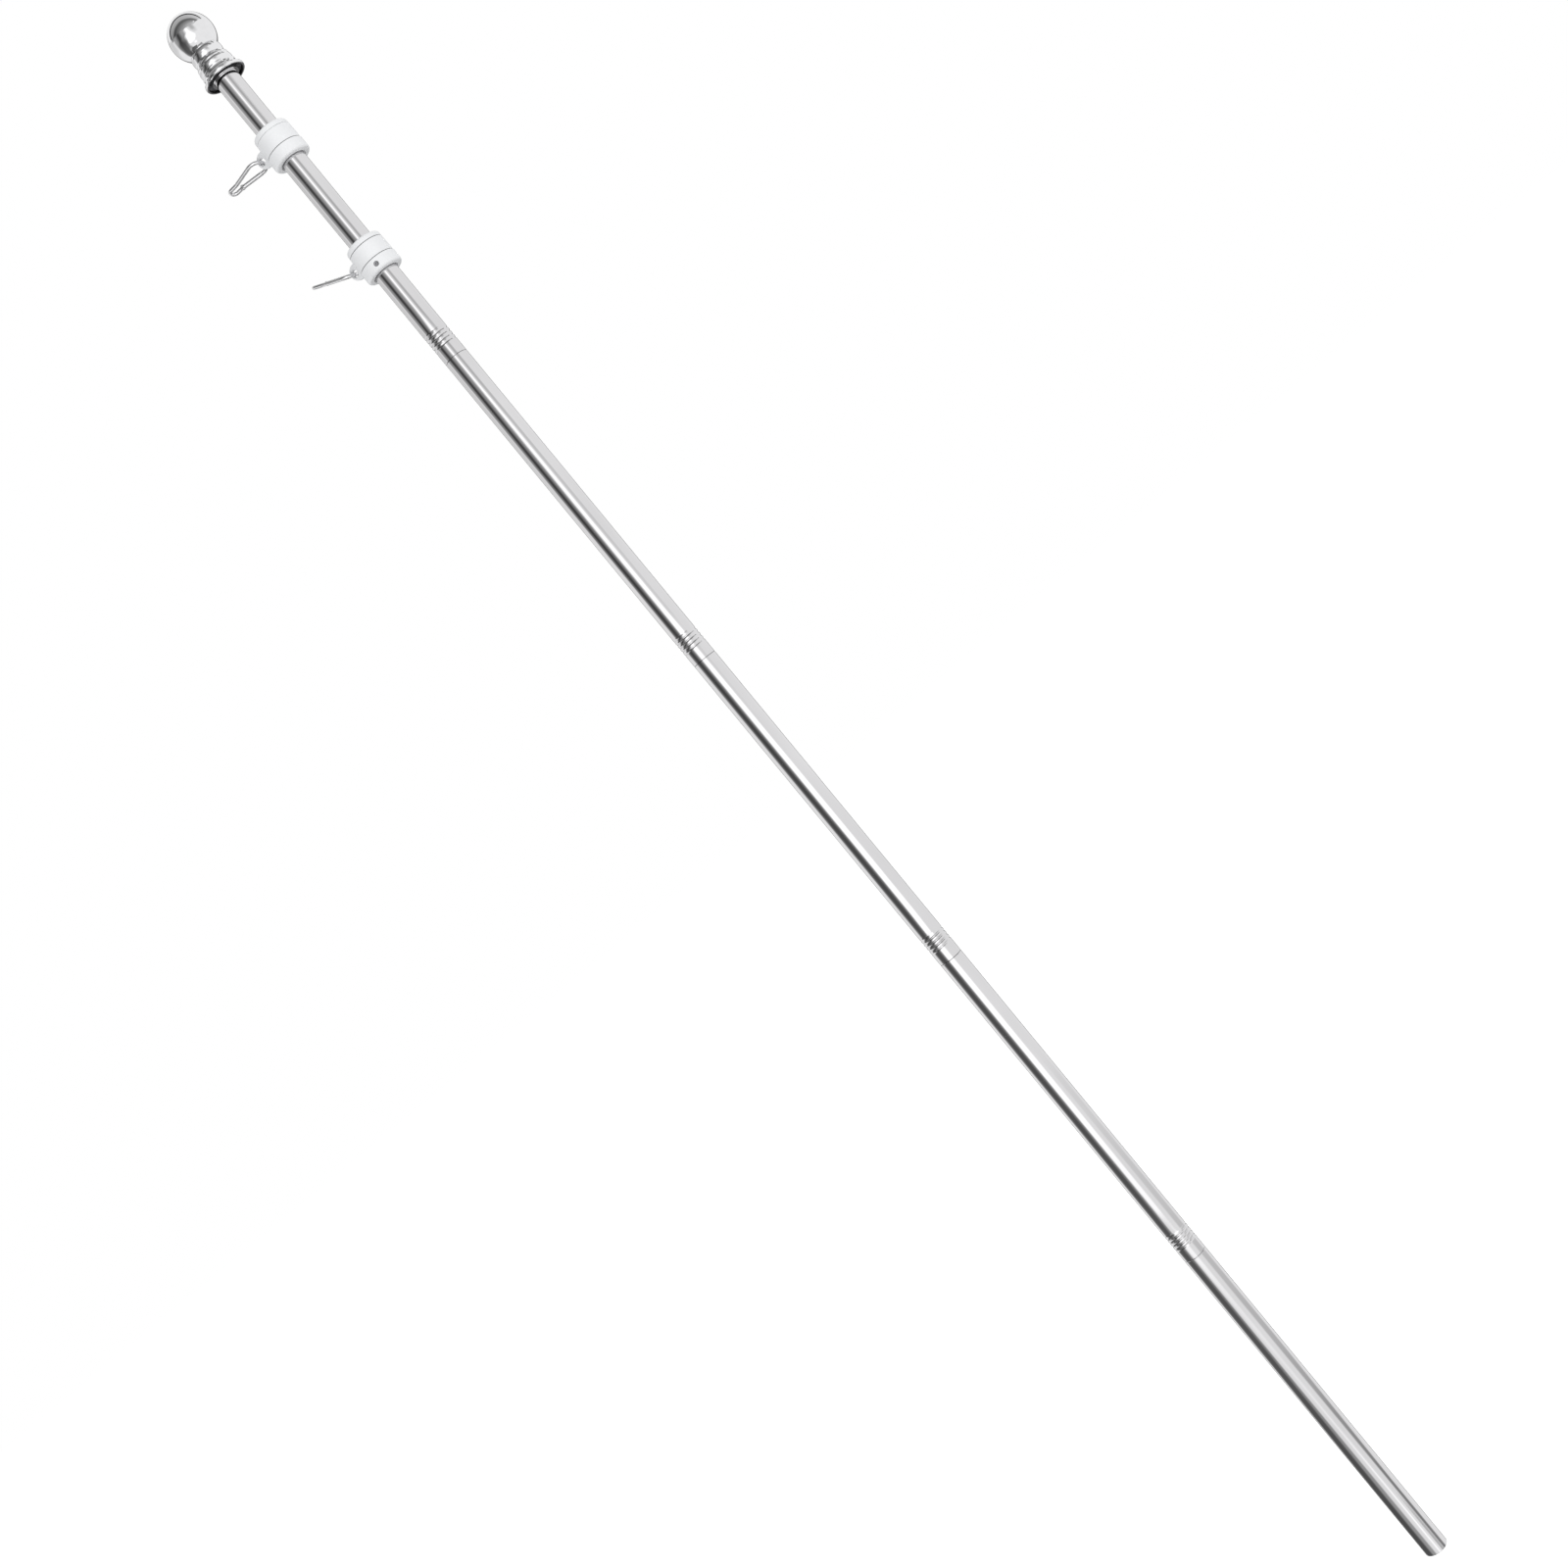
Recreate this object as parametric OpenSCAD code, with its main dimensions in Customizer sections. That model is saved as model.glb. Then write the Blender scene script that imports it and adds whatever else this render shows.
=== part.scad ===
// Sectional steel flagpole: five tubes that join by grooved spigots, a ball
// finial on a turned base, and two free-spinning rings with a snap hook each.
// The pole stands along +Z with the centre of its foot at the origin.

/* [Tubes] */
// Outside diameter of the tubes
tube_d = 24; // [22:0.5:28]
// Thickness of the tube wall
tube_wall = 0.8; // [0.6:0.1:1.1]
// Length of one section, from seam to seam
section_l = 360; // [320:10:420]
// Chamfer on the cut ends of the tubes
tube_chamfer = 0.25; // [0.1:0.05:0.4]

/* [Screwed joints] */
// Radial play between a spigot and the tube around it
spigot_play = 0.12; // [0.06:0.02:0.2]
// Open seam between two sections
seam_gap = 0.3; // [0.1:0.05:0.4]
// Plain length between a seam and its first groove
groove_start = 15.5; // [10:0.5:18]
// Distance from groove to groove
groove_pitch = 4; // [3.8:0.1:5.5]
// Number of rolled grooves in a joint
groove_count = 4; // [2:1:5]
// Width of a groove at the surface
groove_w = 2.4; // [2:0.1:3.2]
// Depth of a groove
groove_depth = 0.5; // [0.3:0.05:0.7]
// Plain lead at the tip of the spigot
spigot_lead = 3; // [2:0.5:6]
// Length over which the tube necks down to its spigot
neck_l = 4; // [2:0.5:6]

/* [Foot plug] */
// Length of the plug in the foot
plug_l = 14; // [8:1:20]
// Wall of the plug
plug_wall = 1.6; // [1.2:0.2:2.4]
// Radial play of the plug in the tube
plug_play = 0.08; // [0.04:0.02:0.14]

/* [Finial ball] */
// Diameter of the ball
ball_d = 45; // [42:0.4:52]
// Thickness of the ball's shell
ball_wall = 1.2; // [0.8:0.1:1.6]

/* [Finial base] */
// Diameter of the flange
flange_d = 43; // [42:0.2:48]
// Height of the flange's rim
rim_h = 3.3; // [2.8:0.1:4]
// Height of the flare above the rim
flare_h = 4.9; // [3:0.1:6]
// Height of the narrow band above the flare
band_h = 2.4; // [1.4:0.1:3]
// Diameter of the lower bead
lower_bead_d = 35.8; // [34.6:0.2:38]
// Height of the lower bead
lower_bead_h = 5.9; // [5:0.1:9]
// Height of the narrow bead above the lower one
middle_bead_h = 5.4; // [3.4:0.1:6]
// Diameter of the upper bead
upper_bead_d = 32.2; // [31.4:0.2:34]
// Height of the upper bead
upper_bead_h = 9.1; // [9:0.1:14]
// Depth of the grooves between the beads
bead_groove = 1.1; // [0.6:0.1:1.4]
// Depth to which the tube enters the base
socket_depth = 28; // [20:0.5:29]
// Radial play of the tube in the base
socket_play = 0.1; // [0.05:0.05:0.2]
// Wall of the inner socket at the base's underside
socket_wall = 2.4; // [2:0.1:2.8]
// Wall of the neck that carries the ball
neck_wall = 2.8; // [2:0.1:3]
// Length of the spout that centres the ball
spout_h = 3.6; // [2.4:0.2:5]
// Wall of the spout
spout_wall = 1.4; // [1:0.1:1.8]
// Radial play of the spout in the ball's mouth
spout_play = 0.2; // [0.1:0.05:0.3]
// Radial width of the flange's rim
rim_w = 2.4; // [2:0.1:3]
// Depth of the recess under the flange
recess_depth = 5.6; // [4:0.1:6]

/* [Rings] */
// Drop from the finial's underside to the top of the upper ring
upper_ring_drop = 62.5; // [50:0.5:90]
// Drop from the top of the upper ring to the top of the lower ring
ring_spacing = 133; // [110:1:170]
// Diameter of the clamped collar
collar_d = 38.6; // [36:0.2:42]
// Height of the collar
collar_h = 12; // [11:0.1:15]
// Diameter of the swivel ring
swivel_d = 37.6; // [36:0.2:41]
// Height of the swivel ring
swivel_h = 16.4; // [15.8:0.2:20]
// Diameter of the retaining cap
cap_d = 36.8; // [35:0.2:40]
// Height of the retaining cap
cap_h = 5.8; // [4.6:0.2:7]
// Rounding of the outer edges
ring_edge = 2.6; // [1:0.2:3.4]
// Radial play of the collar on the tube
collar_play = 0.15; // [0.05:0.05:0.3]
// Wall of the neck on which the swivel spins
ring_neck_wall = 2; // [1.6:0.1:2.4]
// Radial running clearance of the swivel
swivel_play = 0.1; // [0.06:0.02:0.14]
// Axial clearance at each end of the swivel
swivel_gap = 0.25; // [0.2:0.05:0.4]
// Radial width of the mouth around the tube, at the collar's underside
mouth_gap = 1.6; // [1:0.1:2]
// Depth of the collar's mouth
mouth_depth = 2.6; // [1:0.2:4]
// Diameter of the hole for the collar's set screw
screw_hole_d = 5.2; // [4:0.2:6]
// Turn of the upper collar about the pole
upper_collar_turn = 70; // [-180:5:180]
// Turn of the lower collar about the pole
lower_collar_turn = -96; // [-180:1:180]

/* [Lugs] */
// Turn of the upper lug about the pole
upper_lug_turn = 155; // [-180:1:180]
// Turn of the lower lug about the pole
lower_lug_turn = 152; // [-180:1:180]
// Reach of a lug's tip from the pole's centre line
lug_reach = 30.4; // [29.6:0.2:33]
// Radius of a lug's rounded tip
lug_r = 7.9; // [7:0.1:7.9]
// Thickness of a lug
lug_t = 5; // [4:0.2:6]
// Chamfer on a lug's edges
lug_chamfer = 1; // [0.5:0.1:1.4]
// Diameter of the hole in a lug
eye_d = 6.8; // [6.6:0.1:7.2]
// Wall between a lug's hole and its tip
eye_wall = 2; // [1.8:0.1:3]
// Chamfer at the mouths of a lug's hole
eye_chamfer = 0.9; // [0.6:0.1:1.1]

/* [Snap hooks] */
// Diameter of the hook's wire
wire_d = 3.6; // [3:0.1:3.8]
// Length of the hook over its ends
hook_l = 50; // [46:0.5:56]
// Width over the hook's wide end
hook_w = 22; // [20:0.2:24]
// Width over the hook's narrow end
hook_narrow_w = 12; // [11:0.2:13]
// Radius of the bend at the end of the spine
bend_r = 12; // [8:1:20]
// Distance from the narrow end to the gate's pivot
pivot_reach = 13.6; // [12.6:0.2:16]
// Diameter of the gate
gate_d = 4; // [3.8:0.1:4.4]
// Diameter of the gate's pivot rivet
rivet_d = 1.6; // [1.2:0.1:1.8]
// Diameter of the rivet's heads
rivet_head_d = 2.8; // [2.4:0.1:3.2]
// Thickness of the rivet's heads
rivet_head_t = 0.4; // [0.3:0.1:0.6]
// Thickness of the tongues that enter the gate
tongue_t = 1.4; // [1:0.1:1.6]
// Clearance at each side of a tongue
tongue_play = 0.12; // [0.08:0.02:0.2]
// Length of the nose's tongue
nose_l = 2.6; // [2:0.2:3.2]
// Radial clearance of the rivet in the gate
rivet_play = 0.08; // [0.05:0.01:0.1]
// Gap between the wire and the hole's wall where the hook hangs
hook_seat_gap = 0.7; // [0.5:0.1:0.9]
// Lift of the upper hook above level
upper_hook_lift = 5; // [-60:1:60]
// Twist of the upper hook about its length
upper_hook_twist = 18; // [-25:1:25]
// Lift of the lower hook above level
lower_hook_lift = 26; // [-60:1:60]
// Twist of the lower hook about its length
lower_hook_twist = -6; // [-25:1:25]

/* [Hidden] */
$fn = 72;

steel = "lightsteelblue";
chrome = "silver";
plastic = "whitesmoke";

tube_r = tube_d / 2;
tube_count = 5;
pole_l = tube_count * section_l;
spigot_r = tube_r - tube_wall - spigot_play;
spigot_l = groove_start + (groove_count - 1) * groove_pitch + groove_w / 2 + spigot_lead;

// The grooved line of a joint: radius r, starting at height z.
function grooves(r, z) = [for (i = [0:groove_count - 1])
    let (c = z + groove_start + i * groove_pitch)
    each [[r, c - groove_w / 2], [r - groove_depth, c - groove_w / 6],
          [r - groove_depth, c + groove_w / 6], [r, c + groove_w / 2]]];

function reversed(list) = [for (i = [len(list) - 1:-1:0]) list[i]];

// One tube from height z. A socket takes the spigot of the tube below,
// a spigot enters the tube above.
module tube_section(z, socket, spigot) {
    top = z + section_l;
    foot = z + (socket ? seam_gap : 0);
    outer = concat(
        [[tube_r - tube_chamfer, foot], [tube_r, foot + tube_chamfer]],
        socket ? grooves(tube_r, z) : [],
        [[tube_r, top - tube_chamfer], [tube_r - tube_chamfer, top]],
        spigot ? concat([[spigot_r, top]], grooves(spigot_r, top),
                        [[spigot_r, top + spigot_l - tube_wall],
                         [spigot_r - tube_wall / 2, top + spigot_l]]) : []);
    bore = concat(
        [[tube_r - tube_wall, foot]],
        socket ? grooves(tube_r - tube_wall, z) : [],
        spigot ? concat([[tube_r - tube_wall, top - neck_l - tube_wall],
                         [spigot_r - tube_wall, top - tube_wall]],
                        grooves(spigot_r - tube_wall, top),
                        [[spigot_r - tube_wall, top + spigot_l]])
               : [[tube_r - tube_wall, top]]);
    color(steel) rotate_extrude() polygon(concat(outer, reversed(bore)));
}

// Cup-shaped plug, flush with the end of the foot.
module foot_plug() {
    r = tube_r - tube_wall - plug_play;
    color("dimgray") rotate_extrude() polygon([[0, 0], [r, 0], [r, plug_l - 1], [r - 0.5, plug_l],
        [r - plug_wall, plug_l], [r - plug_wall, plug_wall], [0, plug_wall]]);
}

// Finial: heights are measured from the underside of its base.
base_z = pole_l - socket_depth;
flange_r = flange_d / 2;
socket_r = tube_r + socket_play;
lower_bead_r = lower_bead_d / 2;
upper_bead_r = upper_bead_d / 2;
neck_r = socket_r + neck_wall;
flare_z = rim_h + flare_h;
lower_bead_z = flare_z + band_h;
middle_bead_z = lower_bead_z + lower_bead_h;
upper_bead_z = middle_bead_z + middle_bead_h;
base_h = upper_bead_z + upper_bead_h;
fit = 0.05;
ball_r = ball_d / 2;
seat_h = sqrt(pow(ball_r, 2) - pow(neck_r, 2));
ball_z = base_z + base_h + fit + seat_h;
ball_mouth_r = sqrt(pow(ball_r - ball_wall, 2) - pow(seat_h, 2));
spout_r = ball_mouth_r - spout_play;
spout_chamfer = 0.6;

// A bead swells by b between two radii and heights.
function bead(r0, r1, z0, z1, b, n = 10) = [for (i = [0:n])
    [r0 + (r1 - r0) * i / n + b * pow(sin(180 * i / n), 0.7), z0 + (z1 - z0) * i / n]];

module finial_ball() {
    color(chrome) translate([0, 0, ball_z]) difference() {
        sphere(ball_r, $fn = 96);
        sphere(ball_r - ball_wall, $fn = 96);
        translate([0, 0, -seat_h - ball_r]) cylinder(h = ball_r, r = ball_r);
    }
}

module finial_base() {
    waist = lower_bead_r - bead_groove;
    outer = concat(
        [[flange_r - 0.8, 0], [flange_r - 0.25, 0.25], [flange_r, 0.9],
         [flange_r, rim_h - 1.1], [flange_r - 0.25, rim_h - 0.4]],
        [for (a = [0:15:90]) [lower_bead_r + (flange_r - 0.7 - lower_bead_r) * (1 - sin(a)),
                              flare_z - flare_h * cos(a)]],
        [[lower_bead_r + 0.3, flare_z + band_h * 0.25], [lower_bead_r + 0.3, flare_z + band_h * 0.55],
         [waist, flare_z + band_h * 0.8]],
        bead(waist, waist + 0.3, lower_bead_z, middle_bead_z - 0.35, bead_groove - 0.3),
        [[waist, middle_bead_z]],
        bead(waist + 0.3, upper_bead_r - bead_groove, middle_bead_z + 0.35, upper_bead_z - 0.5, 0.6),
        bead(upper_bead_r - bead_groove, neck_r, upper_bead_z, base_h,
             (upper_bead_r + bead_groove - neck_r) / 2));
    spout = [[spout_r, base_h], [spout_r, base_h + spout_h - spout_chamfer],
             [spout_r - spout_chamfer, base_h + spout_h], [spout_r - spout_wall, base_h + spout_h],
             [spout_r - spout_wall, socket_depth + fit],
             [socket_r, socket_depth + fit], [socket_r, 0.6], [socket_r + 0.6, 0]];
    recess_r = flange_r - rim_w;
    ring_r = socket_r + socket_wall;
    color(chrome) translate([0, 0, base_z]) difference() {
        rotate_extrude() polygon(concat(outer, spout));
        rotate_extrude() polygon([[ring_r, -1], [recess_r, -1], [recess_r, rim_h - 0.6],
            [ring_r + 1.2, recess_depth], [ring_r, recess_depth]]);
    }
}

// Rings: heights are measured from the underside of the collar.
ring_neck_r = tube_r + collar_play + ring_neck_wall;
swivel_z = collar_h + swivel_gap;
cap_z = swivel_z + swivel_h + swivel_gap;
ring_h = cap_z + cap_h;
lip_t = 1;
upper_ring_z = base_z - upper_ring_drop - ring_h;
lower_ring_z = upper_ring_z - ring_spacing;
hub_z = swivel_z + swivel_h / 2;

// A quarter round of radius r, from angle a0 to a1.
function round_at(x, z, r, a0, a1) = [for (i = [0:5]) let (a = a0 + (a1 - a0) * i / 5)
    [x + r * cos(a), z + r * sin(a)]];

module ring_collar(z, turn) {
    r = collar_d / 2;
    bore = tube_r + collar_play;
    mouth_r = tube_r + mouth_gap;
    color(plastic) translate([0, 0, z]) rotate([0, 0, turn]) difference() {
        rotate_extrude() polygon(concat(
            [[mouth_r, 0]],
            round_at(r - ring_edge, ring_edge, ring_edge, -90, 0),
            [[r, collar_h - 0.4], [r - 0.4, collar_h], [ring_neck_r, collar_h],
             [ring_neck_r, ring_h - lip_t - fit], [bore, ring_h - lip_t - fit],
             [bore, mouth_depth], [mouth_r, mouth_depth - 0.4]]));
        translate([bore - 1, 0, collar_h / 2]) rotate([0, 90, 0])
            cylinder(h = r, d = screw_hole_d);
    }
}

module ring_cap(z) {
    r = cap_d / 2;
    color(plastic) translate([0, 0, z + cap_z]) rotate_extrude() polygon(concat(
        [[ring_neck_r + fit, 0], [r - 0.4, 0], [r, 0.4]],
        round_at(r - ring_edge, cap_h - ring_edge, ring_edge, 0, 90),
        [[tube_r + collar_play + 0.3, cap_h], [tube_r + collar_play, cap_h - 0.3],
         [tube_r + collar_play, cap_h - lip_t], [ring_neck_r + fit, cap_h - lip_t]]));
}

// The rounded plate of a lug, as a section with chamfered edges.
lug_x = lug_reach - lug_r;
eye_x = lug_reach - eye_wall - eye_d / 2;

module ring_swivel(z, turn) {
    r = swivel_d / 2;
    bore = ring_neck_r + swivel_play;
    t = lug_t / 2;
    c = lug_chamfer;
    color(plastic) translate([0, 0, z + swivel_z]) rotate([0, 0, turn]) difference() {
        union() {
            rotate_extrude() polygon([[bore, 0], [r - 0.4, 0], [r, 0.4], [r, swivel_h * 0.45],
                [r - 0.3, swivel_h - 0.4], [r - 0.7, swivel_h], [bore, swivel_h]]);
            translate([0, 0, swivel_h / 2]) {
                translate([lug_x, 0, 0]) rotate([90, 0, 0]) rotate_extrude()
                    polygon([[0, -t], [lug_r - c, -t], [lug_r - 0.3 * c, -t + 0.3 * c], [lug_r, -t + c],
                             [lug_r, t - c], [lug_r - 0.3 * c, t - 0.3 * c], [lug_r - c, t], [0, t]]);
                translate([bore + 0.5, 0, 0]) rotate([90, 0, 90]) linear_extrude(lug_x - bore - 0.5)
                    polygon([[-t, -lug_r + c], [-t + 0.3 * c, -lug_r + 0.3 * c], [-t + c, -lug_r],
                             [t - c, -lug_r], [t - 0.3 * c, -lug_r + 0.3 * c], [t, -lug_r + c],
                             [t, lug_r - c], [t - 0.3 * c, lug_r - 0.3 * c], [t - c, lug_r],
                             [-t + c, lug_r], [-t + 0.3 * c, lug_r - 0.3 * c], [-t, lug_r - c]]);
            }
        }
        translate([0, 0, -1]) cylinder(h = swivel_h + 2, r = bore);
        translate([eye_x, 0, swivel_h / 2]) rotate([90, 0, 0]) {
            cylinder(h = lug_t + 2, d = eye_d, center = true);
            for (side = [0, 180]) rotate([side, 0, 0]) translate([0, 0, t - eye_chamfer])
                cylinder(h = eye_chamfer + 0.2, d1 = eye_d, d2 = eye_d + 2 * eye_chamfer + 0.4);
        }
    }
}

// Snap hook in its own frame: the wire crosses the lug's eye at the origin,
// X runs to the narrow end, the spine is on +Y and the gate on -Y.
wire_r = wire_d / 2;
bow_r = (hook_w - wire_d) / 2;
tail_r = (hook_narrow_w - wire_d) / 2;
tail_x = hook_l - wire_d - tail_r;
pivot_x = hook_l - wire_r - pivot_reach;
bend = [pivot_x, tail_r];
bend_d = norm(bend - [bow_r, 0]);
// Direction, from the bow's centre, of the point where the straight side leaves the bow
side_a = atan2(bend[1], bend[0] - bow_r) + acos(bow_r / bend_d);
side_l = sqrt(pow(bend_d, 2) - pow(bow_r, 2));
gate_r = gate_d / 2;
gate_gap = 0.3;
lap = 0.2;
knuckle_r = gate_r;
flat = gate_r - 0.3;

// A straight length of wire; it laps the bends at its ends, which are a hair thinner.
module rod(from, to) {
    v = to - from;
    translate([from[0], from[1], 0]) rotate([0, 0, atan2(v[1], v[0])]) translate([-lap, 0, 0])
        rotate([0, 90, 0]) cylinder(h = norm(v) + 2 * lap, r = wire_r, $fn = 32);
}

module wire_arc(r, angle) {
    rotate_extrude(angle = angle, $fn = 64) translate([r, 0]) circle(wire_r - 0.04, $fn = 32);
}

// Places its children at the gate's pivot, with X along the gate to the nose.
module at_pivot() {
    translate([pivot_x, -tail_r, 0]) rotate([0, 0, 90 - side_a + 180]) children();
}

module hook_wire() {
    leave = [bow_r + bow_r * cos(side_a), bow_r * sin(side_a)];
    along = (bend - leave) / norm(bend - leave);
    cut = bend_r * tan((90 - side_a) / 2);
    leg_x = pivot_x + knuckle_r + gate_gap + lap;
    tongue_r = 0.85 * wire_r;
    color(chrome) difference() {
        union() {
            translate([bow_r, 0, 0]) rotate([0, 0, side_a]) wire_arc(bow_r, 360 - 2 * side_a);
            rod(leave, bend - cut * along);
            translate([bend[0] + cut, bend[1] + bend_r, 0]) rotate([0, 0, side_a + 180])
                wire_arc(bend_r, 90 - side_a);
            rod([bend[0] + cut, bend[1]], [tail_x, tail_r]);
            translate([tail_x, 0, 0]) rotate([0, 0, -90]) wire_arc(tail_r, 180);
            rod([leg_x, -tail_r], [tail_x, -tail_r]);
            // tongue that carries the gate's pivot
            translate([pivot_x, -tail_r, -tongue_t / 2]) {
                cylinder(h = tongue_t, r = tongue_r);
                translate([0, -tongue_r, 0]) cube([leg_x - pivot_x + 0.5, 2 * tongue_r, tongue_t]);
            }
            // nose tongue that enters the gate's free end
            at_pivot() translate([side_l - nose_l, -0.6 * wire_r, -tongue_t / 2])
                cube([nose_l + 0.5, 1.2 * wire_r, tongue_t]);
        }
        translate([pivot_x, -tail_r, -tongue_t]) cylinder(h = 2 * tongue_t, r = rivet_d / 2 + 0.03);
    }
}

module hook_gate() {
    slot = tongue_t + 2 * tongue_play;
    color(chrome) at_pivot() difference() {
        union() {
            translate([knuckle_r, 0, 0]) rotate([0, 90, 0])
                cylinder(h = side_l - gate_gap - knuckle_r, r = gate_r, $fn = 32);
            intersection() {
                union() {
                    cylinder(h = gate_d, r = knuckle_r, center = true);
                    rotate([0, 90, 0]) cylinder(h = knuckle_r + 0.01, r = gate_r, $fn = 32);
                }
                cube([4 * gate_d, 2 * gate_d, 2 * flat], center = true);
            }
        }
        translate([-gate_d, -gate_d, -slot / 2]) cube([gate_d + wire_r + 0.6, 2 * gate_d, slot]);
        translate([side_l - nose_l - gate_gap, -gate_d, -slot / 2]) cube([nose_l + gate_d, 2 * gate_d, slot]);
        cylinder(h = 2 * gate_d, r = rivet_d / 2 + rivet_play, center = true);
    }
}

module hook_rivet() {
    head_z = flat + rivet_play;
    color(chrome) at_pivot() {
        cylinder(h = 2 * head_z + 0.02, d = rivet_d, center = true);
        for (side = [0, 180]) rotate([side, 0, 0]) translate([0, 0, head_z])
            cylinder(h = rivet_head_t, d1 = rivet_head_d, d2 = rivet_head_d - rivet_head_t);
    }
}

// Hangs a hook in the lug of the ring whose collar starts at height z.
module hang(z, turn, lift, twist) {
    translate([0, 0, z + hub_z]) rotate([0, 0, turn])
        translate([eye_x + eye_d / 2 - hook_seat_gap - wire_r, 0, 0])
            rotate([twist, 0, 0]) rotate([0, -lift, 0]) children();
}

module upper_hang() { hang(upper_ring_z, upper_lug_turn, upper_hook_lift, upper_hook_twist) children(); }
module lower_hang() { hang(lower_ring_z, lower_lug_turn, lower_hook_lift, lower_hook_twist) children(); }

finial_ball();
finial_base();
tube_section(4 * section_l, true, false);  // top_tube
tube_section(3 * section_l, true, true);  // upper_tube
tube_section(2 * section_l, true, true);  // middle_tube
tube_section(section_l, true, true);  // lower_tube
tube_section(0, false, true);  // foot_tube
foot_plug();
ring_collar(upper_ring_z, upper_collar_turn);  // upper_ring_collar
ring_swivel(upper_ring_z, upper_lug_turn);  // upper_ring_swivel
ring_cap(upper_ring_z);  // upper_ring_cap
ring_collar(lower_ring_z, lower_collar_turn);  // lower_ring_collar
ring_swivel(lower_ring_z, lower_lug_turn);  // lower_ring_swivel
ring_cap(lower_ring_z);  // lower_ring_cap
upper_hang() hook_wire();  // upper_hook_wire
upper_hang() hook_gate();  // upper_hook_gate
upper_hang() hook_rivet();  // upper_hook_rivet
lower_hang() hook_wire();  // lower_hook_wire
lower_hang() hook_gate();  // lower_hook_gate
lower_hang() hook_rivet();  // lower_hook_rivet
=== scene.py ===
"""Looks of the sectional steel flagpole.

The CAD frame keeps the finial, the rings, the hooks and the foot. This script
gives them their materials, puts the rolled screw threads on the four upper
tubes, sets the grub screws into the collars, and lights the whole in a white
studio with dark flags for the polished metal to reflect. Units are metres, and
the pole stands along +Z with its foot at the origin.
"""

import math

import bmesh
import bpy
from mathutils import Matrix, Vector


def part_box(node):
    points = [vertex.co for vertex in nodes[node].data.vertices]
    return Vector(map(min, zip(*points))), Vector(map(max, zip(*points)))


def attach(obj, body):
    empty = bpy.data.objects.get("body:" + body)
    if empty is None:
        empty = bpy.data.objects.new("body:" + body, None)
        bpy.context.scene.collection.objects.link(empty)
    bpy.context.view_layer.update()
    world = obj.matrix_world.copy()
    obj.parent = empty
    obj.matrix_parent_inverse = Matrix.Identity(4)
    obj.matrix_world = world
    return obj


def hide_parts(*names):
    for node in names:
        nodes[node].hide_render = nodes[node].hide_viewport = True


MM = 0.001

# rolled thread of a joint, measured from the seam
THREAD_START = 15.5 * MM
THREAD_PITCH = 4 * MM
THREAD_TURNS = 4
THREAD_WIDTH = 2.6 * MM
THREAD_DEPTH = 0.55 * MM
SEAM_GAP = 0.3 * MM
TUBE_WALL = 0.8 * MM
TUBE_CHAMFER = 0.25 * MM
THREADED = ("top_tube", "upper_tube", "middle_tube", "lower_tube")

# grub screws: the way each collar's hole faces, in degrees about the pole
SCREW_TURN = {"upper": 70, "lower": -96}
SCREW_R = 2.5 * MM
SCREW_RECESS = 0.9 * MM
HEX_R = 1.45 * MM

# the painted shade line where two parts of a ring meet: half its height, and how far it reaches past the
# collar
GAP_SHADE_HALF = 0.36 * MM
GAP_SHADE_MARGIN = 0.1 * MM

# recess under the finial's flange, where its shade is painted: the socket ring inside it, the rim around it,
# its depth, and how far up its wall is straight
SOCKET_WALL = 2.5 * MM
RIM_WIDTH = 1.9 * MM
RECESS_DEPTH = 5.8 * MM
RECESS_STRAIGHT = 2.9 * MM

# how far the floor runs from the pole, in metres
FLOOR_REACH = 30

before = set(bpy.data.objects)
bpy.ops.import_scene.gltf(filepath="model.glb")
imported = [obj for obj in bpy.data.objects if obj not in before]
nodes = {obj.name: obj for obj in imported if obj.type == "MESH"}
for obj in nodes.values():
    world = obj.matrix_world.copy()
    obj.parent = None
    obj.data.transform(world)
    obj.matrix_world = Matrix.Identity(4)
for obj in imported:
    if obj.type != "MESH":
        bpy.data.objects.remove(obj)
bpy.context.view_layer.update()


# ---------------------------------------------------------------- camera

def add_camera():
    """Level with the middle of the pole, and rolled so that the pole runs from corner to corner."""
    aim = Vector((-0.017, 0, 0.9438))
    distance, tilt, roll = 1.8, math.radians(1.244), math.radians(39.5)
    forward = Vector((0, math.cos(tilt), -math.sin(tilt)))
    up = Vector((0, math.sin(tilt), math.cos(tilt)))
    right = Vector((1, 0, 0))
    x_axis = math.cos(roll) * right - math.sin(roll) * up
    y_axis = math.sin(roll) * right + math.cos(roll) * up
    data = bpy.data.cameras.new("camera")
    data.sensor_width, data.lens = 36, 44.45
    camera = bpy.data.objects.new("camera", data)
    camera.matrix_world = Matrix.Translation(aim - distance * forward) @ Matrix(
        (x_axis, y_axis, -forward)).transposed().to_4x4()
    bpy.context.scene.collection.objects.link(camera)
    bpy.context.scene.camera = camera


# ---------------------------------------------------------------- materials

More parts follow.
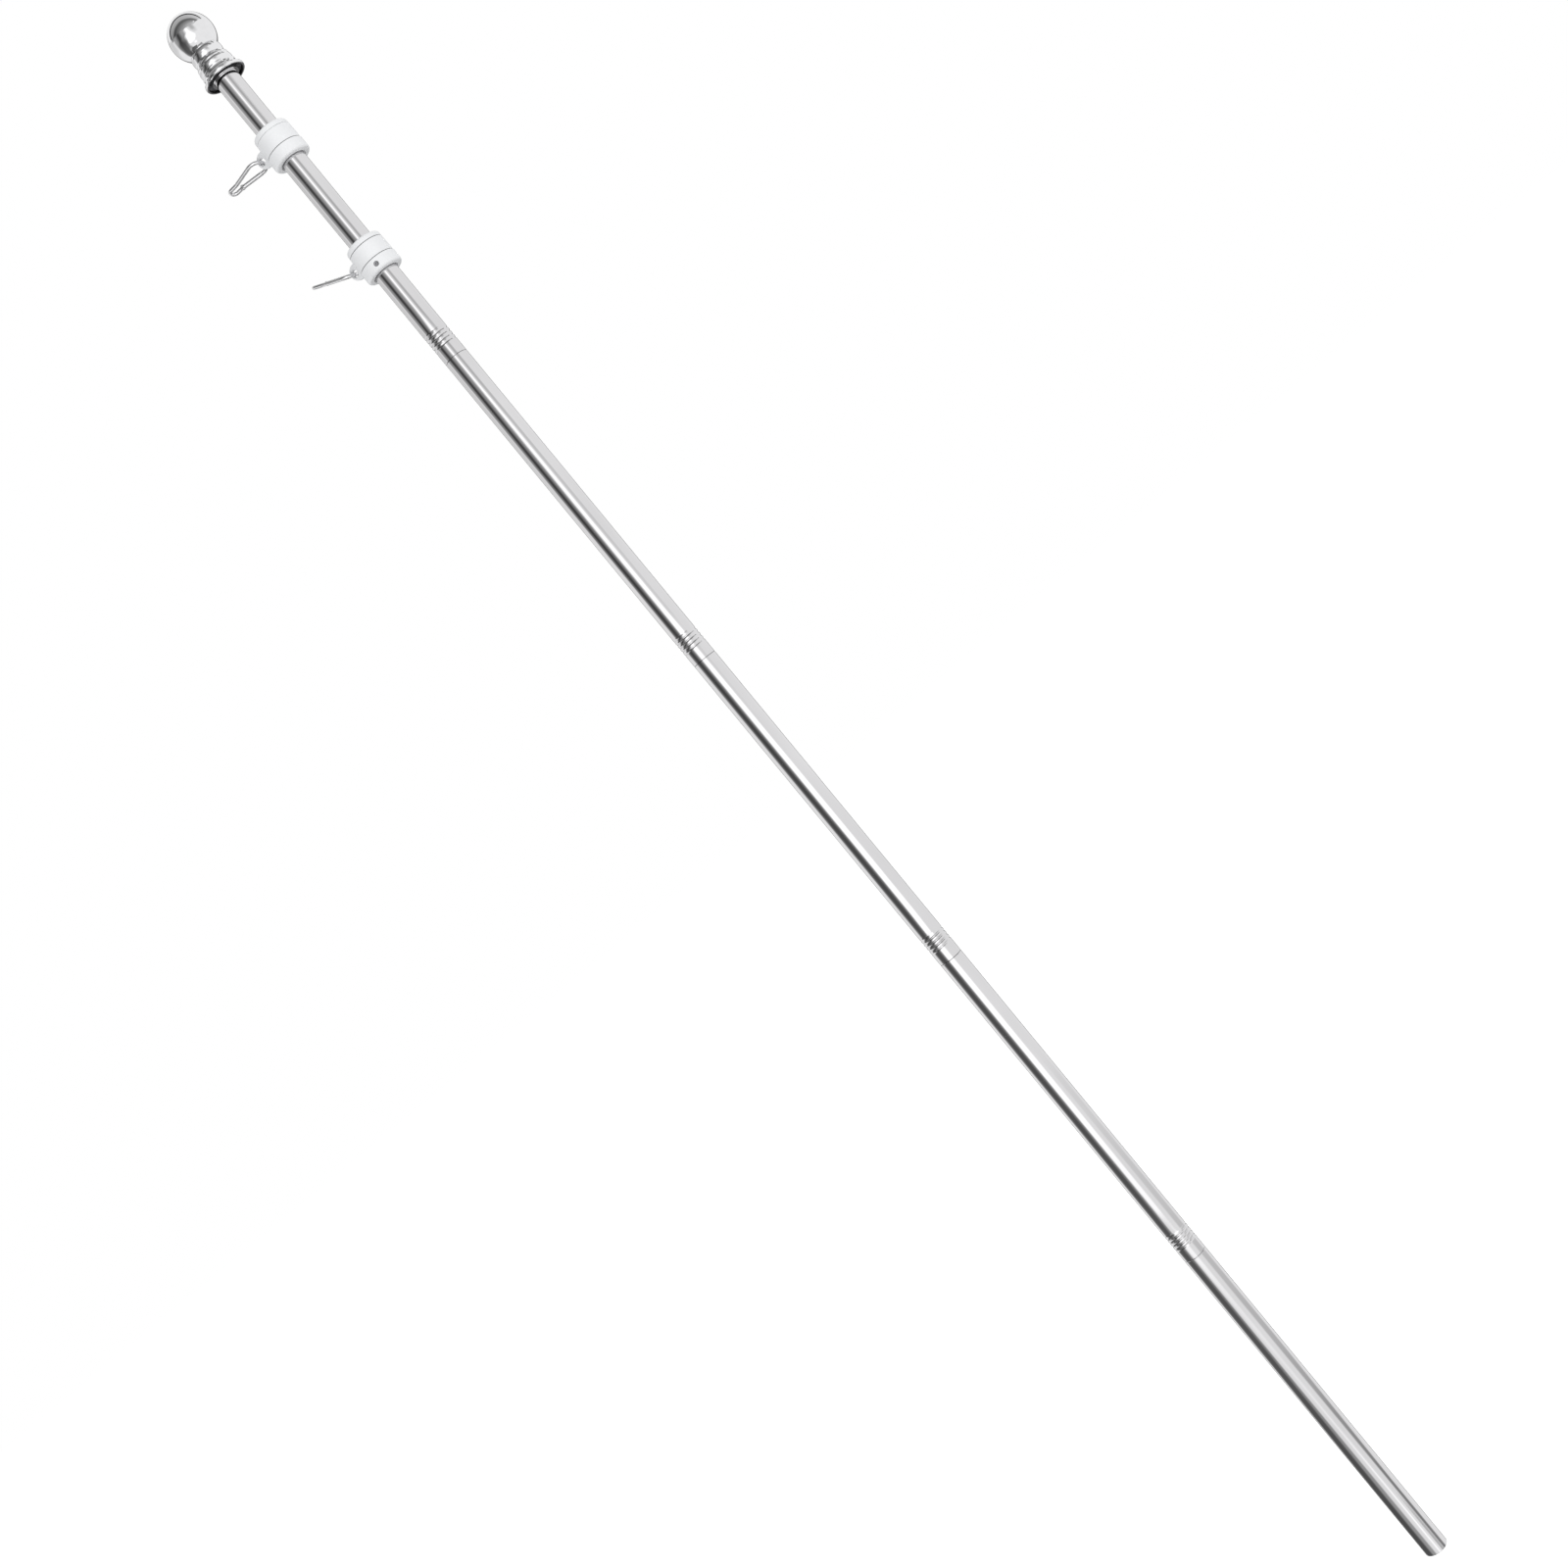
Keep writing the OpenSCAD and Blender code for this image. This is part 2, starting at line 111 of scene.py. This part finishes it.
class Shader:
    """A material with one Principled shader, and short calls to put procedural detail on it."""

    def __init__(self, name, colour, roughness, metallic=0.0, **sockets):
        self.material = bpy.data.materials.new(name)
        self.material.use_nodes = True
        self.tree = self.material.node_tree
        self.bsdf = self.tree.nodes["Principled BSDF"]
        self.colour, self.roughness = colour, roughness
        self.bsdf.inputs["Base Color"].default_value = (*colour, 1)
        self.bsdf.inputs["Roughness"].default_value = roughness
        self.bsdf.inputs["Metallic"].default_value = metallic
        for socket, value in sockets.items():
            self.bsdf.inputs[socket.replace("_", " ")].default_value = value

    def node(self, kind, **settings):
        node = self.tree.nodes.new(kind)
        for key, value in settings.items():
            setattr(node, key, value)
        return node

    def link(self, source, target):
        self.tree.links.new(source, target)

    def math(self, operation, a, b=0.0):
        node = self.node("ShaderNodeMath", operation=operation)
        for socket, value in zip(node.inputs, (a, b)):
            if isinstance(value, (int, float)):
                socket.default_value = value
            else:
                self.link(value, socket)
        return node.outputs[0]

    def noise(self, scale, detail=3.0):
        """Noise over the object's own coordinates; scale is per metre along X, Y and Z."""
        coords = self.node("ShaderNodeTexCoord")
        mapping = self.node("ShaderNodeMapping")
        mapping.inputs["Scale"].default_value = scale
        noise = self.node("ShaderNodeTexNoise")
        noise.inputs["Scale"].default_value = 1
        noise.inputs["Detail"].default_value = detail
        self.link(coords.outputs["Object"], mapping.inputs["Vector"])
        self.link(mapping.outputs["Vector"], noise.inputs["Vector"])
        return noise.outputs["Fac"]

    def spread(self, factor, low, high):
        node = self.node("ShaderNodeMapRange")
        node.inputs["From Min"].default_value, node.inputs["From Max"].default_value = 0.3, 0.7
        node.inputs["To Min"].default_value, node.inputs["To Max"].default_value = low, high
        self.link(factor, node.inputs["Value"])
        return node.outputs["Result"]

    def mix(self, factor, a, b):
        node = self.node("ShaderNodeMix", data_type="RGBA")
        self.link(factor, node.inputs["Factor"])
        for socket, value in ((node.inputs[6], a), (node.inputs[7], b)):
            if isinstance(value, tuple):
                socket.default_value = (*value, 1)
            else:
                self.link(value, socket)
        return node.outputs[2]

    def vary(self, factor, darker=0.9, rough=0.02):
        """Slight wear: the colour drops to a share of itself and the roughness spreads by a little."""
        low = tuple(c * darker for c in self.colour)
        self.link(self.mix(self.spread(factor, 0, 1), low, self.colour), self.bsdf.inputs["Base Color"])
        self.link(self.spread(factor, self.roughness - rough, self.roughness + rough),
                  self.bsdf.inputs["Roughness"])
        return self

    def bump(self, height, distance, strength=1.0):
        node = self.node("ShaderNodeBump")
        node.inputs["Distance"].default_value = distance
        node.inputs["Strength"].default_value = strength
        self.link(height, node.inputs["Height"])
        self.link(node.outputs["Normal"], self.bsdf.inputs["Normal"])
        return self

    def radius(self):
        """Distance from the pole's centre line."""
        split = self.node("ShaderNodeSeparateXYZ")
        self.link(self.node("ShaderNodeTexCoord").outputs["Object"], split.inputs[0])
        x, y = split.outputs[0], split.outputs[1]
        return self.math("SQRT", self.math("ADD", self.math("MULTIPLY", x, x), self.math("MULTIPLY", y, y)))

    def height(self):
        split = self.node("ShaderNodeSeparateXYZ")
        self.link(self.node("ShaderNodeTexCoord").outputs["Object"], split.inputs[0])
        return split.outputs[2]


def polished_steel():
    """Tube steel, polished on a belt: fine rings round the tube over a slightly wavy wall."""
    shader = Shader("polished_steel", (0.72, 0.715, 0.725), 0.08, metallic=1)
    rings = shader.noise((60, 60, 2600), detail=2)
    shader.vary(shader.noise((35, 35, 9)), darker=0.93, rough=0.025)
    return shader.bump(rings, 0.000012).material


def chrome(name, roughness):
    """Bright plating over a casting that isn't quite even."""
    shader = Shader(name, (0.80, 0.80, 0.81), roughness, metallic=1)
    shader.vary(shader.noise((220, 220, 220)), darker=0.95, rough=roughness * 0.3)
    return shader.bump(shader.noise((150, 150, 150), detail=1), 0.00004).material


def plated_base(ring_r, rim_r, foot, depth):
    """Chrome with painted shade: the recess between the socket's ring and the flange's rim is painted near
    black and made rougher.
    """
    shader = Shader("plated_base", (0.80, 0.80, 0.81), 0.06, metallic=1)
    radius = shader.radius()
    up = shader.math("SUBTRACT", shader.height(), foot)
    # the recess is straight at first, then narrows as fast as it deepens, as the flare outside it does
    narrowing = shader.math("MAXIMUM", shader.math("SUBTRACT", up, RECESS_STRAIGHT), 0.0)
    wall = shader.math("SUBTRACT", rim_r, narrowing)
    # painted shade: this mask is the recess between the socket's ring and the rim, painted near black where
    # its shade falls
    shaded_recess = shader.math("GREATER_THAN", radius, ring_r)
    shaded_recess = shader.math("MULTIPLY", shaded_recess, shader.math("LESS_THAN", radius, wall))
    shaded_recess = shader.math("MULTIPLY", shaded_recess, shader.math("LESS_THAN", up, depth))
    shaded_recess = shader.math("MULTIPLY", shaded_recess, shader.spread(shader.noise((300, 300, 300)), 0.92, 1.0))
    shader.link(shader.mix(shaded_recess, shader.colour, (0.045, 0.045, 0.05)), shader.bsdf.inputs["Base Color"])
    shader.link(shader.math("ADD", 0.05, shader.math("MULTIPLY", shaded_recess, 0.4)), shader.bsdf.inputs["Roughness"])
    return shader.bump(shader.noise((150, 150, 150), detail=1), 0.00004).material


def moulded_plastic(name, colour, roughness, gaps=(), reach=0.0):
    """Satin moulding with a faint orange peel. Gaps at the given heights get painted shade, dark grey as far
    out as the reach.
    """
    shader = Shader(name, colour, roughness)
    shader.vary(shader.noise((60, 60, 60)), darker=0.98, rough=0.03)
    height, gap_shade = shader.height(), None
    # painted shade: the gaps between a ring's parts are painted dark grey, out to the reach, where shade falls
    # in them
    for gap in gaps:
        off = shader.math("ABSOLUTE", shader.math("SUBTRACT", height, gap))
        near = shader.math("LESS_THAN", off, GAP_SHADE_HALF)
        gap_shade = near if gap_shade is None else shader.math("MAXIMUM", gap_shade, near)
    if gap_shade:
        gap_shade = shader.math("MULTIPLY", gap_shade, shader.math("LESS_THAN", shader.radius(), reach))
        unshaded = shader.bsdf.inputs["Base Color"].links[0].from_socket
        shader.link(shader.mix(gap_shade, unshaded, (0.26, 0.26, 0.265)), shader.bsdf.inputs["Base Color"])
    return shader.bump(shader.noise((900, 900, 900), detail=1), 0.000004).material


def screw_steel():
    """Grub screw steel, darker in random patches."""
    shader = Shader("screw_steel", (0.42, 0.42, 0.44), 0.3, metallic=1)
    shader.vary(shader.noise((700, 700, 700)), darker=0.6, rough=0.06)
    return shader.bump(shader.noise((2500, 2500, 2500)), 0.00002).material


def dress(names, material):
    for name in names:
        data = nodes[name].data
        data.materials.clear()
        data.materials.append(material)


# ---------------------------------------------------------------- pieces

def add_piece(name, mesh, material, body):
    """Makes a mesh a piece of the part that rides on a body."""
    mesh.materials.append(material)
    piece = bpy.data.objects.new(name, mesh)
    bpy.context.scene.collection.objects.link(piece)
    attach(piece, body)
    return piece


def lathe(name, rows, cut, segments=112):
    """A closed ring of revolution. rows are (radius, z); cut(z, turn) is how far the wall is pressed in."""
    verts, faces = [], []
    for radius, z in rows:
        for i in range(segments):
            turn = i / segments
            a = 2 * math.pi * turn
            r = radius - cut(z, turn) if radius > rows[0][0] else radius
            verts.append((r * math.cos(a), r * math.sin(a), z))
    count = len(rows)
    for k in range(count):
        for i in range(segments):
            j, m = (i + 1) % segments, (k + 1) % count
            faces.append((k * segments + i, k * segments + j, m * segments + j, m * segments + i))
    mesh = bpy.data.meshes.new(name)
    mesh.from_pydata(verts, [], faces)
    mesh.validate()
    mesh.shade_smooth()
    mesh.set_sharp_from_angle(angle=math.radians(32))
    return mesh


def thread_cut(foot):
    """Depth of the rolled thread at a height and turn: a right-hand groove that runs out at both ends."""
    start, end = foot + THREAD_START, foot + THREAD_START + (THREAD_TURNS - 1) * THREAD_PITCH

    def cut(z, turn):
        along = (z - start) / THREAD_PITCH - turn
        off = (along - round(along)) * THREAD_PITCH
        centre = start + (round(along) + turn) * THREAD_PITCH
        run_out = min(1, max(0, (centre - start) / THREAD_PITCH + 1),
                      max(0, (end - centre) / THREAD_PITCH + 1))
        if abs(off) > THREAD_WIDTH / 2:
            return 0
        return THREAD_DEPTH * run_out * math.cos(math.pi * off / THREAD_WIDTH) ** 1.4

    return cut


def threaded_tube(node, material):
    """A tube whose lower end has the rolled thread; it stands for its CAD node."""
    lo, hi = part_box(node)
    radius, foot = hi.x, lo.z
    above = {"lower_tube": "middle_tube", "middle_tube": "upper_tube", "upper_tube": "top_tube"}.get(node)
    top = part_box(above)[0].z - SEAM_GAP if above else hi.z
    inner = radius - TUBE_WALL
    zone = (foot + THREAD_START - THREAD_PITCH, foot + THREAD_START + THREAD_TURNS * THREAD_PITCH)
    steps = 96
    rows = [(inner, foot), (radius - TUBE_CHAMFER, foot), (radius, foot + TUBE_CHAMFER)]
    rows += [(radius, zone[0] + (zone[1] - zone[0]) * i / steps) for i in range(steps + 1)]
    rows += [(radius, zone[1] + (top - zone[1]) * i / 12) for i in range(1, 12)]
    rows += [(radius, top - TUBE_CHAMFER), (radius - TUBE_CHAMFER, top), (inner, top)]
    piece = add_piece(node + "_threaded", lathe(node + "_threaded", rows, thread_cut(foot)),
                      material, "pole")
    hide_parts(node)


def grub_screw(ring, material):
    """A grub screw with a hex socket, sunk in the collar's hole."""
    collar_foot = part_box(ring + "_ring_collar")[0].z
    swivel_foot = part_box(ring + "_ring_swivel")[0].z
    collar_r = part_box(ring + "_ring_collar")[1].x
    bm = bmesh.new()
    segments = 36
    loops = []
    # from the rim of the hex socket's floor out to the thread and down into the collar
    profile = [("hex", HEX_R * 0.96, -1.6 * MM), ("hex", HEX_R, -0.05 * MM),
               ("round", HEX_R * 1.18, 0), ("round", SCREW_R - 0.45 * MM, 0),
               ("round", SCREW_R, -0.4 * MM), ("round", SCREW_R, -3.4 * MM)]
    for form, size, z in profile:
        loop = []
        for i in range(segments):
            a = 2 * math.pi * i / segments
            r = size
            if form == "hex":
                r = size * math.cos(math.pi / 6) / math.cos((a % (math.pi / 3)) - math.pi / 6)
            loop.append(bm.verts.new((r * math.cos(a), r * math.sin(a), z)))
        loops.append(loop)
    for inner, outer in zip(loops, loops[1:]):
        for i in range(segments):
            j = (i + 1) % segments
            bm.faces.new((inner[i], inner[j], outer[j], outer[i]))
    bm.faces.new(loops[0])
    bm.faces.new(reversed(loops[-1]))
    bmesh.ops.recalc_face_normals(bm, faces=bm.faces)
    turn = math.radians(SCREW_TURN[ring])
    out = Vector((math.cos(turn), math.sin(turn), 0))
    place = out * (collar_r - SCREW_RECESS) + Vector((0, 0, (collar_foot + swivel_foot) / 2))
    bm.transform(Matrix.Translation(place) @ out.to_track_quat("Z", "Y").to_matrix().to_4x4())
    mesh = bpy.data.meshes.new(ring + "_grub_screw")
    bm.to_mesh(mesh)
    bm.free()
    mesh.shade_smooth()
    mesh.set_sharp_from_angle(angle=math.radians(30))
    add_piece(ring + "_grub_screw", mesh, material, "pole")


# ---------------------------------------------------------------- studio

def glow(name):
    """Emission as strong as the card's tone, where it covers what is behind. It isn't sampled as a lamp."""
    material = bpy.data.materials.new(name)
    material.use_nodes = True
    tree = material.node_tree
    tree.nodes.clear()
    emission = tree.nodes.new("ShaderNodeEmission")
    clear = tree.nodes.new("ShaderNodeBsdfTransparent")
    mix = tree.nodes.new("ShaderNodeMixShader")
    output = tree.nodes.new("ShaderNodeOutputMaterial")
    for attribute, socket in (("tone", emission.inputs["Strength"]), ("cover", mix.inputs[0])):
        source = tree.nodes.new("ShaderNodeAttribute")
        source.attribute_name = attribute
        tree.links.new(source.outputs["Fac"], socket)
    tree.links.new(clear.outputs[0], mix.inputs[1])
    tree.links.new(emission.outputs[0], mix.inputs[2])
    tree.links.new(mix.outputs[0], output.inputs[0])
    material.cycles.emission_sampling = "NONE"
    return material


def ease(x):
    """0 to 1 with no corner at either end."""
    x = min(1, max(0, x))
    return x * x * (3 - 2 * x)


def reflected_card(name, place, columns, rows):
    """A card for polished surfaces to reflect: it lights nothing and the camera doesn't see it.

    place(u, v) is the card's point there, how far it covers what is behind, and its tone.
    """
    verts, cover, tone = [], [], []
    for i in range(columns + 1):
        for j in range(rows + 1):
            point, solid, level = place(i / columns, j / rows)
            verts.append(point)
            cover.append(solid)
            tone.append(level)
    step = rows + 1
    faces = [(i * step + j, (i + 1) * step + j, (i + 1) * step + j + 1, i * step + j + 1)
             for i in range(columns) for j in range(rows)]
    mesh = bpy.data.meshes.new(name)
    mesh.from_pydata(verts, [], faces)
    for attribute, values in (("cover", cover), ("tone", tone)):
        mesh.attributes.new(attribute, "FLOAT", "POINT").data.foreach_set("value", values)
    mesh.materials.append(glow(name))
    card = bpy.data.objects.new(name, mesh)
    bpy.context.scene.collection.objects.link(card)
    card.visible_camera = card.visible_diffuse = card.visible_shadow = False
    card.visible_transmission = card.visible_volume_scatter = False


def at_height(levels, z):
    """What a card is at a height or depth, between the levels that it is given at."""
    for low, high in zip(levels, levels[1:]):
        if z <= high[0]:
            share = (z - low[0]) / (high[0] - low[0])
            return [a + (b - a) * share for a, b in zip(low[1:], high[1:])]
    return levels[-1][1:]


def standing_card(name, levels, soft, distance=4.0, fade=0.5):
    """A curved card round the pole, given as (height, start, end, tone), with bearings from the front."""
    bottom, top = levels[0][0], levels[-1][0]

    def place(u, v):
        z = bottom + (top - bottom) * v
        start, end, tone = at_height(levels, z)
        bearing = start - soft + (end - start + 2 * soft) * u
        edge = min(bearing - start + soft, end + soft - bearing) / (2 * soft)
        a = math.radians(bearing - 90)
        solid = ease(edge) * ease(min(z - bottom, top - z) / fade)
        return (distance * math.cos(a), distance * math.sin(a), z), solid, tone

    reflected_card(name, place, 40, 40)


def level_card(name, x, levels, z, soft):
    """A level card with soft edges, given from front to back as (y, tone at the left, tone at the right)."""
    front, back = levels[0][0], levels[-1][0]

    def place(u, v):
        y = front + (back - front) * v
        left, right = at_height(levels, y)
        edge = min(u * (x[1] - x[0]), (1 - u) * (x[1] - x[0]), y - front, back - y)
        return (x[0] + (x[1] - x[0]) * u, y, z), ease(edge / soft), left + (right - left) * u

    reflected_card(name, place, 40, 80)


def sees_background(tree):
    """1 for what the camera, polished metal and clear pieces see."""
    path = tree.nodes.new("ShaderNodeLightPath")
    total = path.outputs["Is Camera Ray"]
    for name in ("Is Glossy Ray", "Is Transmission Ray"):
        add = tree.nodes.new("ShaderNodeMath")
        add.operation = "MAXIMUM"
        tree.links.new(total, add.inputs[0])
        tree.links.new(path.outputs[name], add.inputs[1])
        total = add.outputs[0]
    return total


def add_world(light):
    """A white surround to the eye, and a soft light of its own strength."""
    world = bpy.data.worlds.new("studio")
    world.use_nodes = True
    tree = world.node_tree
    tree.nodes.clear()
    fill, white = (tree.nodes.new("ShaderNodeBackground") for _ in range(2))
    fill.inputs["Color"].default_value, fill.inputs["Strength"].default_value = (0.97, 0.985, 1, 1), light
    white.inputs["Color"].default_value, white.inputs["Strength"].default_value = (1, 1, 1, 1), 1
    mix = tree.nodes.new("ShaderNodeMixShader")
    output = tree.nodes.new("ShaderNodeOutputWorld")
    tree.links.new(sees_background(tree), mix.inputs[0])
    tree.links.new(fill.outputs[0], mix.inputs[1])
    tree.links.new(white.outputs[0], mix.inputs[2])
    tree.links.new(mix.outputs[0], output.inputs[0])
    bpy.context.scene.world = world


def add_floor():
    """A white floor that blends into the surround and keeps a faint shadow."""
    mesh = bpy.data.meshes.new("floor")
    corners = [(x * FLOOR_REACH, y * FLOOR_REACH, 0) for x, y in ((-1, -1), (1, -1), (1, 1), (-1, 1))]
    mesh.from_pydata(corners, [], [(0, 1, 2, 3)])
    material = bpy.data.materials.new("floor")
    material.use_nodes = True
    tree = material.node_tree
    tree.nodes.clear()
    diffuse = tree.nodes.new("ShaderNodeBsdfDiffuse")
    diffuse.inputs["Color"].default_value = (0.85, 0.85, 0.85, 1)
    white = tree.nodes.new("ShaderNodeEmission")
    white.inputs["Strength"].default_value = 1.25
    share = tree.nodes.new("ShaderNodeMath")
    share.operation = "MULTIPLY"
    share.inputs[1].default_value = 0.75
    mix = tree.nodes.new("ShaderNodeMixShader")
    output = tree.nodes.new("ShaderNodeOutputMaterial")
    tree.links.new(sees_background(tree), share.inputs[0])
    tree.links.new(share.outputs[0], mix.inputs[0])
    tree.links.new(diffuse.outputs[0], mix.inputs[1])
    tree.links.new(white.outputs[0], mix.inputs[2])
    tree.links.new(mix.outputs[0], output.inputs[0])
    material.cycles.emission_sampling = "NONE"
    mesh.materials.append(material)
    floor = bpy.data.objects.new("floor", mesh)
    bpy.context.scene.collection.objects.link(floor)
    floor.visible_glossy = False


def softbox(name, place, aim, size, power):
    data = bpy.data.lights.new(name, "AREA")
    data.shape, data.size, data.energy = "SQUARE", size, power
    lamp = bpy.data.objects.new(name, data)
    lamp.location = place
    lamp.rotation_mode = "QUATERNION"
    lamp.rotation_quaternion = (Vector(aim) - Vector(place)).to_track_quat("-Z", "Y")
    lamp.visible_glossy = False
    bpy.context.scene.collection.objects.link(lamp)
    return lamp


def add_studio():
    """The lamps light the part. The cards only show in polished metal, and give it the photograph's bands.

    A card's heights, bearings and tones were set against those bands. rear_card and rear_fill are for the
    views from the sides and the back.
    """
    add_world(light=0.55)
    add_floor()
    softbox("key", (1.9, -2.3, 2.6), (0, 0, 1.2), 1.8, 42)
    softbox("fill", (-2.2, -2.0, 1.0), (0, 0, 1.0), 1.6, 22)
    softbox("rear_fill", (0.7, 2.7, 2.0), (0, 0, 1.3), 1.0, 26)
    hooks = bpy.data.collections.new("hooks")
    for name in nodes:
        if "_hook_" in name:
            hooks.objects.link(nodes[name])
    wire_light = softbox("wire_light", (-1.3, -0.9, 1.0), (-0.05, 0, 1.62), 1.8, 9)
    wire_light.visible_glossy = True
    wire_light.light_linking.receiver_collection = hooks
    standing_card("front_strip", [(-3.2, -9, 9, 1.35), (-1.9, -9, 9, 1.35), (-1.5, -14, 6, 1.08),
                                  (-1.2, -26, 6, 1.15), (-0.9, -29, 5, 1.4), (-0.4, -33, 12, 1.5),
                                  (0.6, -24, 20, 1.6), (1.8, -18, 8, 1.6), (2.4, -5, 3, 1.8),
                                  (4.0, -3, 1, 1.8)], soft=7, distance=3.95)
    standing_card("left_flag", [(-3.2, -165, -40, 0.40), (-1.9, -158, -40, 0.40), (-1.4, -128, -42, 0.3),
                                (0.6, -97, -29, 0.25), (1.8, -90, -28, 0.27), (2.4, -88, -15, 0.38),
                                (4.6, -88, -12, 0.42)], soft=8)
    standing_card("left_core", [(-3.2, -155, -76, 0.10), (-1.9, -145, -74, 0.10), (-1.4, -114, -60, 0.12),
                                (0.6, -84, -42, 0.09), (1.8, -74, -46, 0.06), (2.4, -65, -39, 0.05),
                                (4.6, -62, -36, 0.06)], soft=12, distance=3.9)
    standing_card("right_card", [(-0.56, 52, 80, 0.2), (-0.21, 52, 80, 0.27), (0.0, 48, 104, 0.6),
                                 (0.49, 46, 104, 0.95)], soft=9, distance=0.6, fade=0.07)
    standing_card("foot_card", [(-0.56, 28, 46, 0.5), (-0.24, 28, 46, 0.55)],
                  soft=6, distance=0.62, fade=0.05)
    standing_card("upper_right_card", [(0.9, 22, 40, 0.95), (1.8, 20, 38, 0.8), (2.4, 17, 36, 0.58),
                                       (4.4, 15, 36, 0.5)], soft=8)
    standing_card("rear_flag", [(1.6, -152, -100, 0.9), (3.0, -152, -100, 0.76), (4.8, -152, -100, 0.76)],
                  soft=10)
    standing_card("rear_card", [(-3.2, 152, 205, 0.15), (5.0, 152, 205, 0.15)], soft=8, distance=4.1)
    level_card("overhead", (-6.6, 6.0), [(-6.8, 0.05, 0.9), (-4.4, 0.04, 0.7), (-2.4, 0.03, 0.35),
                                         (-2.0, 0.03, 0.2), (-1.3, 0.03, 0.3), (-1.0, 0.12, 0.75),
                                         (0.5, 0.3, 0.8), (0.8, 0.0, 0.02), (1.5, 0.0, 0.02)], 5.2, soft=0.2)
    level_card("overhead_left_spot", (-4.9, -4.3), [(-4.4, 0.9, 0.9), (-3.8, 0.9, 0.9)], 5.1, soft=0.25)
    level_card("overhead_right_spot", (4.0, 4.8), [(-3.7, 1.4, 1.4), (-2.8, 1.4, 1.4)], 5.1, soft=0.3)
    level_card("underneath_left", (-4.5, -0.4), [(-3.4, 0.08, 0.2), (2.2, 0.08, 0.2)], -3.4, soft=0.5)
    level_card("underneath_front", (-0.7, 2.0), [(-2.7, 0.3, 0.45), (-1.4, 0.3, 0.45)], -3.38, soft=0.3)
    level_card("underneath_rear", (-1.2, 1.4), [(0.9, 0.2, 0.2), (3.4, 0.2, 0.2)], -3.38, soft=0.4)


# ---------------------------------------------------------------- scene

def dress_frame():
    steel = polished_steel()
    # the painted shade line over the upper swivel hardly shows, so it isn't painted there and only the
    # swivel's own narrow gap is left
    gaps = [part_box(ring + "_ring_swivel")[0].z for ring in SCREW_TURN] + [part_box("lower_ring_swivel")[1].z]
    collar_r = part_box("upper_ring_collar")[1].x
    plastic = moulded_plastic("white_plastic", (0.89, 0.892, 0.9), 0.42, gaps, reach=collar_r + GAP_SHADE_MARGIN)
    base_lo, base_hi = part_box("finial_base")
    dress(["foot_tube"], steel)
    dress(["finial_ball"], chrome("chrome_ball", 0.045))
    dress(["finial_base"], plated_base(ring_r=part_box("top_tube")[1].x + SOCKET_WALL,
                                       rim_r=base_hi.x - RIM_WIDTH, foot=base_lo.z, depth=RECESS_DEPTH))
    dress(["foot_plug"], moulded_plastic("dark_plastic", (0.03, 0.03, 0.033), 0.5))
    dress([n for n in nodes if "_ring_" in n], plastic)
    dress([n for n in nodes if "_hook_" in n], chrome("chrome_hook", 0.22))
    for node in THREADED:
        threaded_tube(node, steel)
    screw = screw_steel()
    for ring in SCREW_TURN:
        grub_screw(ring, screw)


dress_frame()
add_camera()
add_studio()
bpy.context.scene.view_settings.view_transform = "Standard"
